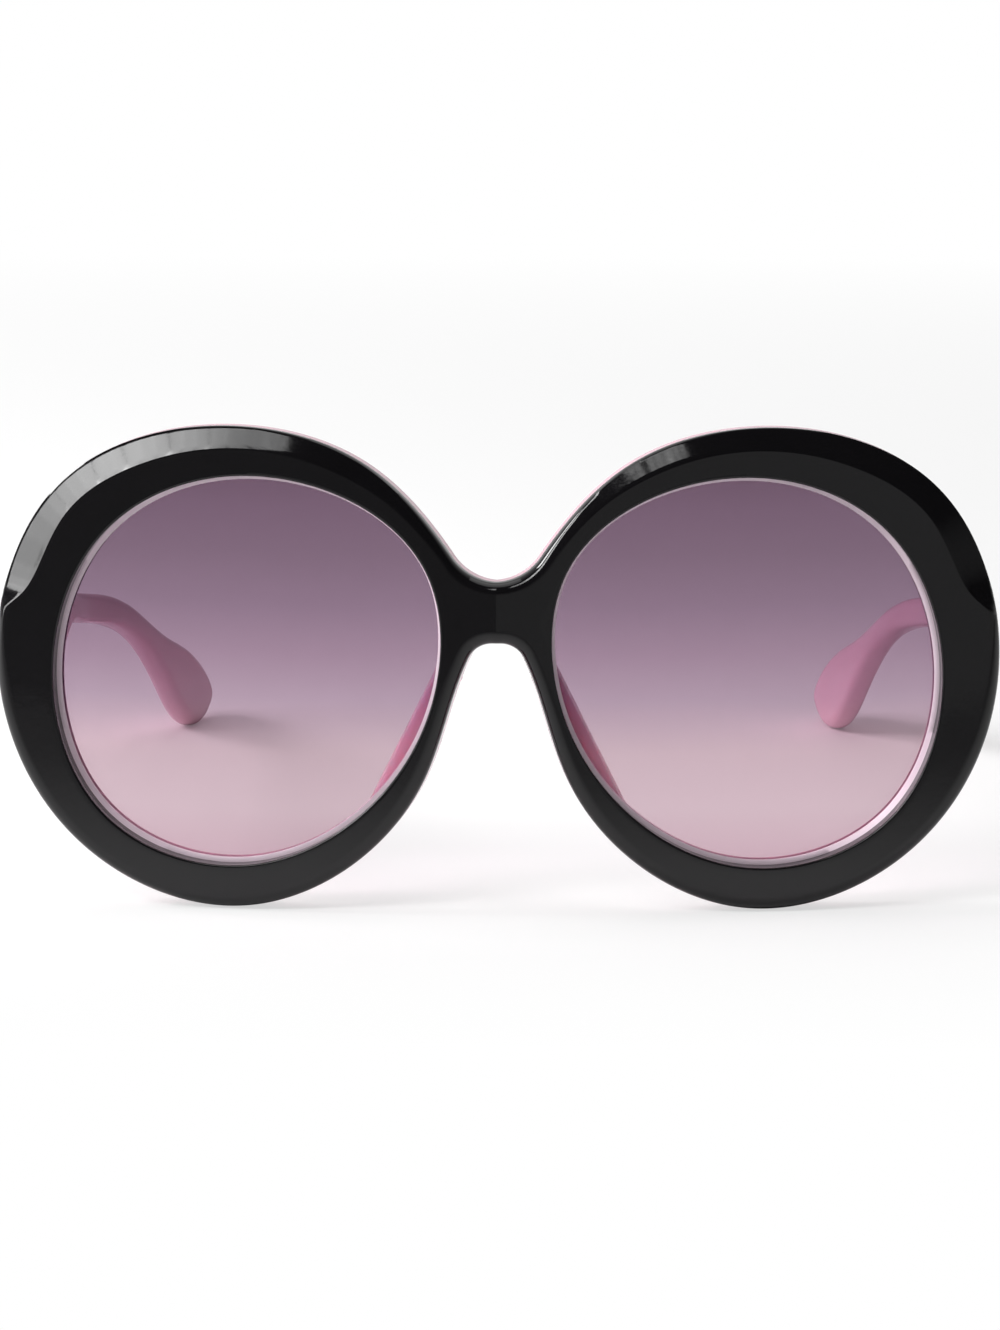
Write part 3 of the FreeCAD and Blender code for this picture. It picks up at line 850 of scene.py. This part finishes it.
# %% Helpers for finishes
def new_finish(name):
    material = bpy.data.materials.new(name)
    material.use_nodes = True
    material.node_tree.nodes.clear()
    return material, Socket(material.node_tree)


def show(start, shader):
    start.node("ShaderNodeOutputMaterial", {}, {"Surface": shader})


def blend(start, factor, a, b):
    """Mix of two colours by a mask."""
    return start.node("ShaderNodeMix", {"data_type": "RGBA"}, {"Factor": factor, 6: a, 7: b}, output=2)


def haze(start, place, scale):
    """Soft cloudy noise."""
    sockets = {"Vector": place, "Scale": scale, "Detail": 4.0, "Roughness": 0.6}
    return start.node("ShaderNodeTexNoise", {}, sockets)


def scaled(start, value, low, high, to_low=0.0, to_high=1.0):
    """Value carried over from one range to another, and held at its ends."""
    sockets = {"Value": value, "From Min": low, "From Max": high, "To Min": to_low, "To Max": to_high}
    return start.node("ShaderNodeMapRange", {}, sockets)


def dress(pieces, material):
    for piece in pieces:
        piece.data.materials.clear()
        piece.data.materials.append(material)
    print(material.name, "on", len(pieces), "pieces")


print("finish helpers ready")

# %% [markdown]
# Polished acetate is close to a mirror, but never perfect: tumbling leaves a very faint ripple, and
# handling leaves hazy patches and hairlines. The ripple goes into the bump, the haze and hairlines
# into the roughness. Both are kept small, because new sunglasses look clean from arm's length.

# %% Black acetate
HAIRS = {"Scale": 90.0, "Distortion": 22.0, "Detail": 3.0, "Detail Scale": 6.0}
HAIR_FINE, HAIR_ROUGH = 0.965, 0.05
RIPPLE = {"Strength": 0.05, "Distance": 0.0004}


def acetate(name, deep, light, rough, spread, constants, method="RANDOM_WALK"):
    """Polished acetate between two colours. The constants are the shader's own fixed values."""
    material, start = new_finish(name)
    place = start.node("ShaderNodeTexCoord", output=3)
    cloud = haze(start, place, 60.0)
    fine = haze(start, place, 900.0)
    ripple = haze(start, place, 140.0)
    bands = {"wave_type": "BANDS", "bands_direction": "DIAGONAL"}
    hairs = start.node("ShaderNodeTexWave", bands, {"Vector": place, **HAIRS}, output=1)
    hairline = scaled(start, hairs, HAIR_FINE, 1.0)
    colour = blend(start, cloud, deep, light)
    roughness = rough + spread * (cloud * fine) + HAIR_ROUGH * hairline
    bump = start.node("ShaderNodeBump", {}, {"Height": ripple * 0.7 + fine * 0.03, **RIPPLE})
    shader = start.node(
        "ShaderNodeBsdfPrincipled",
        {"subsurface_method": method},
        {"Base Color": colour, "Roughness": roughness, "Normal": bump, **constants},
    )
    show(start, shader)
    return material


black = acetate(
    "black_acetate_polished",
    deep=(0.0034, 0.0031, 0.0037, 1),
    light=(0.0068, 0.0062, 0.0074, 1),
    rough=0.045,
    spread=0.10,
    constants={"IOR": 1.45},
)
dress([black_front], black)

# %% [markdown]
# The pink acetate lets a little light in, which softens its shadows, so it has a touch of subsurface.
# Acetate is rolled from dyed chips, and that leaves slow, cloudy changes of pink.

# %% Pink acetate
pink = acetate(
    "pink_acetate_polished",
    deep=(0.72, 0.43, 0.52, 1),
    light=(0.82, 0.53, 0.61, 1),
    rough=0.16,
    spread=0.14,
    constants={
        "IOR": 1.49,
        "Subsurface Weight": 0.12,
        "Subsurface Radius": (1.0, 0.45, 0.5),
        "Subsurface Scale": 0.0015,
    },
    method="BURLEY",
)
dress([pink_liner] + arms, pink)

# %% [markdown]
# The nose pads are thin ridges of the same acetate, and the light that falls on their far side comes
# through. Seen through a lens they glow a little, where a solid finish would leave them in shade. So
# light wanders several millimetres in their finish, by Blender's random walk. Their colour is also paler
# than the rest of the acetate, and that is painted light: it brightens the pads beyond what the lamps
# give them.

# %% Translucent nose pads, with painted light in their paler colour
# The colours are paler than the arms' pink. That is painted light that brightens the pads, not a paler
# acetate.
pads_painted_light = acetate(
    "pink_acetate_pads_painted_light",
    deep=(0.88, 0.58, 0.67, 1),
    light=(0.93, 0.66, 0.74, 1),
    rough=0.2,
    spread=0.14,
    constants={
        "IOR": 1.49,
        "Subsurface Weight": 1.0,
        "Subsurface Radius": (1.0, 0.65, 0.75),
        "Subsurface Scale": 0.004,
    },
)
dress(pads, pads_painted_light)

# %% [markdown]
# The lip of the liner, which shows as the ring round each lens, is milled and not polished, so it is a
# little less glossy than the rest. It is also paler, and that paleness is a painted sheen: its colour
# stands in for the white surroundings that the ring mirrors. A second piece would be one way to show
# that, but here the faces that look to the front get a finish of their own.

# %% Milled lip of the liner, with a painted sheen
FACES_FRONT = -0.3
# The paler colours are a painted sheen, standing in for the white surroundings mirrored in the ring. The
# higher roughness is the milling.
milled_painted_sheen = acetate(
    "pink_acetate_milled_painted_sheen",
    deep=(0.74, 0.59, 0.68, 1),
    light=(0.82, 0.68, 0.76, 1),
    rough=0.26,
    spread=0.14,
    constants={"IOR": 1.49},
)
pick(pink_liner)
bpy.ops.object.material_slot_add()
pink_liner.material_slots[1].material = milled_painted_sheen
bpy.ops.object.mode_set(mode="EDIT")
bpy.ops.mesh.select_mode(type="FACE")
bpy.ops.mesh.select_all(action="DESELECT")
shape = bmesh.from_edit_mesh(pink_liner.data)
# Faces that look to the front take the paler finish, with its painted sheen.
for face in shape.faces:
    face.select_set(face.normal.y < FACES_FRONT)
bmesh.update_edit_mesh(pink_liner.data)
pink_liner.active_material_index = 1
bpy.ops.object.material_slot_assign()
bpy.ops.object.mode_set(mode="OBJECT")
print("milled faces:", sum(f.material_index == 1 for f in pink_liner.data.polygons))

# %% [markdown]
# The lens tint is dipped: violet grey at the top, going over to a pale rose below. Light crosses two
# faces, and the shader tints it once for each, so the colours are written as the tint of the whole
# lens. A shadow ray can't bend through glass, so for those rays the lens is a plain tinted sheet,
# which keeps the table behind it bright.

# %% Tinted lens
LENS_DIP = [
    (8, 0.63, 0.455, 0.52), (15, 0.62, 0.475, 0.53), (24, 0.565, 0.425, 0.48),
    (32, 0.43, 0.315, 0.40), (39, 0.345, 0.235, 0.318), (46, 0.265, 0.178, 0.25),
    (54, 0.215, 0.141, 0.20), (61, 0.19, 0.12, 0.176), (64.5, 0.17, 0.105, 0.155),
]
SMEAR_REACH = 0.0012
SHADOW_TINT = (0.75, 0.66, 0.71, 1)
lens_low, lens_high = (corner.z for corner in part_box("left_lens"))
dip_stops = []
for up, red, green, blue in LENS_DIP:
    dip_stops.append(((up * MM - lens_low) / (lens_high - lens_low), (red, green, blue, 1)))
tint, start = new_finish("tinted_lens_dipped")
place = start.node("ShaderNodeTexCoord", output=3)
height = start.node("ShaderNodeSeparateXYZ", {}, {"Vector": place}, output=2)
smear = haze(start, place, 45.0)
half_reach = SMEAR_REACH / 2
level = scaled(start, height + SMEAR_REACH * smear, lens_low + half_reach, lens_high + half_reach)
dip = start.node("ShaderNodeValToRGB", {"stops": dip_stops}, {"Fac": level})
roughness = 0.006 + 0.03 * (smear * smear)
glass = start.node(
    "ShaderNodeBsdfPrincipled",
    {},
    {"Base Color": dip, "Roughness": roughness, "Transmission Weight": 1.0, "IOR": 1.25},
)
sheer = start.node("ShaderNodeBsdfTransparent", {}, {"Color": SHADOW_TINT})
shadow_ray = start.node("ShaderNodeLightPath", output=1)
show(start, start.node("ShaderNodeMixShader", {}, {0: shadow_ray, 1: glass, 2: sheer}))
dress(lenses, tint)

# %% [markdown]
# Hinge leaves, screws and wires stay as packed, because small machined parts are just such shapes.
# Their loose triangles are welded by a modifier and get a narrow bevel, and the steel gets the fine
# lines of stamping and turning.

# %% Hinge steel
STEEL_EDGE, STEEL_CRISP = 0.06, 35


def steel(name, deep, light, rough, stretch):
    material, start = new_finish(name)
    place = start.node("ShaderNodeTexCoord", output=3)
    turned = start.node("ShaderNodeMapping", {}, {"Vector": place, "Scale": stretch})
    lines = haze(start, turned, 1.0)
    stain = haze(start, place, 420.0)
    colour = blend(start, stain, deep, light)
    roughness = rough + 0.16 * (lines * stain)
    bump = start.node("ShaderNodeBump", {}, {"Height": lines, "Strength": 0.12, "Distance": 0.0001})
    shader = start.node(
        "ShaderNodeBsdfPrincipled",
        {},
        {"Base Color": colour, "Metallic": 1.0, "Roughness": roughness, "Normal": bump},
    )
    show(start, shader)
    return material


def finish_packed(names, material):
    pieces = [frame["nodes"][name] for name in names]
    for piece in pieces:
        weld = piece.modifiers.new("Weld", "WELD")
        weld.merge_threshold = 1e-6
        edge = piece.modifiers.new("Bevel", "BEVEL")
        edge.width = STEEL_EDGE * MM
        edge.segments = 2
        edge.limit_method = "ANGLE"
        edge.angle_limit = math.radians(STEEL_CRISP)
        edge.harden_normals = False
    dress(pieces, material)


stamped = steel(
    "hinge_steel_stamped", (0.55, 0.54, 0.53, 1), (0.68, 0.67, 0.66, 1), 0.22, (300, 300, 4000)
)
turned = steel(
    "screw_steel_turned", (0.42, 0.41, 0.39, 1), (0.56, 0.55, 0.53, 1), 0.18, (4000, 4000, 300)
)
drawn = steel(
    "wire_steel_drawn", (0.5, 0.5, 0.49, 1), (0.62, 0.62, 0.61, 1), 0.28, (3000, 120, 3000)
)
leaves = ("left_front_hinge_leaf", "right_front_hinge_leaf")
finish_packed(leaves + ("left_temple_hinge_leaf", "right_temple_hinge_leaf"), stamped)
finish_packed(("hinge_screws",), turned)
finish_packed(("left_temple_core_wire", "right_temple_core_wire"), drawn)

# %% [markdown]
# The table is one pale sheet that starts just below the picture and reaches past the view. For the
# camera, and through the lenses, a share of it is plain white, so the ground stays white, and the rest
# takes the light, so the shadows stay too. That share is whole in front and far behind, and smallest
# round the tips of the arms, whose shadows show most. In front the matte part is darker, because the
# lower rims mirror it.

# %% Table
TABLE_SIZE, TABLE_BACK = 6.0, 2.58
TABLE_WHITE = [(0.049, 1.0), (0.056, 0.62), (0.066, 0.62), (0.076, 0.25), (0.1, 0.25), (0.18, 1.0)]
rest_selection()
bpy.ops.mesh.primitive_plane_add(size=TABLE_SIZE, location=(0, TABLE_BACK, 0))
table = bpy.context.object
table.name = "table_top"
paper, start = new_finish("table_white")
camera_ray = start.node("ShaderNodeLightPath", output=0)
place = start.node("ShaderNodeTexCoord", output=3)
behind = start.node("ShaderNodeSeparateXYZ", {}, {"Vector": place}, output=1)
share = start.node(
    "ShaderNodeValToRGB",
    {"stops": [(at, (white, white, white, 1)) for at, white in TABLE_WHITE]},
    {"Fac": scaled(start, behind, -TABLE_SIZE / 2, TABLE_SIZE / 2)},
)
grey = scaled(start, behind, -2.88, -2.655, 0.25, 0.9)
matte = start.node("ShaderNodeBsdfDiffuse", {}, {"Color": grey})
plain = start.node("ShaderNodeEmission", {}, {"Color": (1, 1, 1, 1), "Strength": 1.0})
seen = start.maths("MAXIMUM", camera_ray, camera_ray.beside("Is Transmission Ray")) * share
show(start, start.node("ShaderNodeMixShader", {}, {0: seen, 1: matte, 2: plain}))
dress([table], paper)

# %% [markdown]
# Product light: a soft strip arcs from low at the left side to high above the front, and the milled
# facet of one brow mirrors it as a long bright stroke. One lamp would be brightest all along, so the
# strip is a row of short lengths that grow brighter and then dimmer by small steps. A soft box at the
# left models the arms and throws their short shadows, and a large one above lights the table. Each
# is set by the two directions between which the sunglasses see it, as a turn from the front and a
# rise, in degrees.

# %% Lights
SUBJECT = Vector((0, -0.06, 0.04))
STRIP = [
    (-83, 1, 5.5), (-76, 13, 6.4), (-71, 25, 9.8), (-63, 38, 13.0), (-57, 44, 13.5), (-47.5, 50.2, 10.6),
    (-36, 54, 7.7), (-30, 55.3, 5.4), (-24, 57, 4.2), (-18, 59.5, 4.4), (-12.5, 61.5, 4.5),
]
STRIP_PARTS = 3


def sight(turn, rise):
    """Direction from the sunglasses: turn 0 is to the front, 90 to the right of the picture."""
    t, r = math.radians(turn), math.radians(rise)
    return Vector((math.sin(t) * math.cos(r), -math.cos(t) * math.cos(r), math.sin(r)))


def soft_box(name, start, end, far, width, bright):
    a, b = sight(*start), sight(*end)
    out = (a + b).normalized()
    along = (b - a).normalized()
    length = 2 * far * math.tan(a.angle(b) / 2)
    rest_selection()
    bpy.ops.object.light_add(type="AREA", location=SUBJECT + out * far)
    lamp = bpy.context.object
    lamp.name = name
    lamp.data.shape = "RECTANGLE"
    lamp.data.size, lamp.data.size_y = width, length
    lamp.data.energy = bright * math.pi * width * length
    lamp.rotation_euler = Matrix((along.cross(out), along, out)).transposed().to_euler()


for i, (a, b) in enumerate(zip(STRIP, STRIP[1:])):
    for k in range(STRIP_PARTS):
        p, q = (Vector(a).lerp(Vector(b), s / STRIP_PARTS) for s in (k, k + 1))
        bright = (p[2] + q[2]) / 2
        soft_box(f"strip_{i}_{k}", p[:2], q[:2], far=1.2, width=0.28, bright=bright)
soft_box("box_left", (-98, 26), (-98, 42), far=1.3, width=0.36, bright=21.0)
soft_box("box_above", (180, 50), (0, 82), far=1.3, width=1.20, bright=1.0)

# %% [markdown]
# The room in front is dark, which keeps the black black, and a little lighter low down and to the
# right. Behind the sunglasses it is pale, and for the camera and through the lenses it is plain white.

# %% Room
DARK, PALE_BACK, PALE_LOW, PALE_RIGHT = 0.03, 0.52, 0.13, 0.25
WHITE = (1, 1, 1, 1)
world = bpy.data.worlds.new("studio")
bpy.context.scene.world = world
world.use_nodes = True
world.node_tree.nodes.clear()
start = Socket(world.node_tree)
camera_ray = start.node("ShaderNodeLightPath", output=0)
seen = start.maths("MAXIMUM", camera_ray, camera_ray.beside("Is Transmission Ray"))
toward = start.node("ShaderNodeTexCoord", output=0)
sideways = start.node("ShaderNodeSeparateXYZ", {}, {"Vector": toward})
back = scaled(start, sideways.beside("Y"), -0.1, 0.5)
right = scaled(start, sideways, -0.05, 0.25)
low = scaled(start, sideways.beside("Z"), 0.35, 0.05)
room = DARK + PALE_BACK * back + low * (PALE_LOW + PALE_RIGHT * right)
studio = start.node("ShaderNodeBackground", {}, {"Color": WHITE, "Strength": room})
ground = start.node("ShaderNodeBackground", {}, {"Color": WHITE, "Strength": 1.0})
mixed = start.node("ShaderNodeMixShader", {}, {0: seen, 1: studio, 2: ground})
start.node("ShaderNodeOutputWorld", {}, {"Surface": mixed})
print("nodes of the room:", len(world.node_tree.nodes))

# %% [markdown]
# The photograph was taken from a little above the rims, almost straight on and with a long lens.
# The camera looks at the front from the same height. Its distance and focal length make one
# millimetre on the front as many pixels as in the photograph.

# %% Camera
scene = bpy.context.scene
CAMERA_FAR, CAMERA_UP, CAMERA_SIDE = 0.800, 12.2, 1.22
AIM = Vector((0.0005, -0.0629, 0.0374))
to_camera = sight(CAMERA_SIDE, CAMERA_UP)
rest_selection()
bpy.ops.object.camera_add(location=AIM + to_camera * CAMERA_FAR)
camera = bpy.context.object
camera.rotation_euler = (-to_camera).to_track_quat("-Z", "Y").to_euler()
camera.data.sensor_width = 36.0
camera.data.lens = 144.0
camera.data.clip_start = 0.05
scene.camera = camera
scene.view_settings.view_transform = "Standard"
print("camera at", [round(v, 4) for v in camera.location])
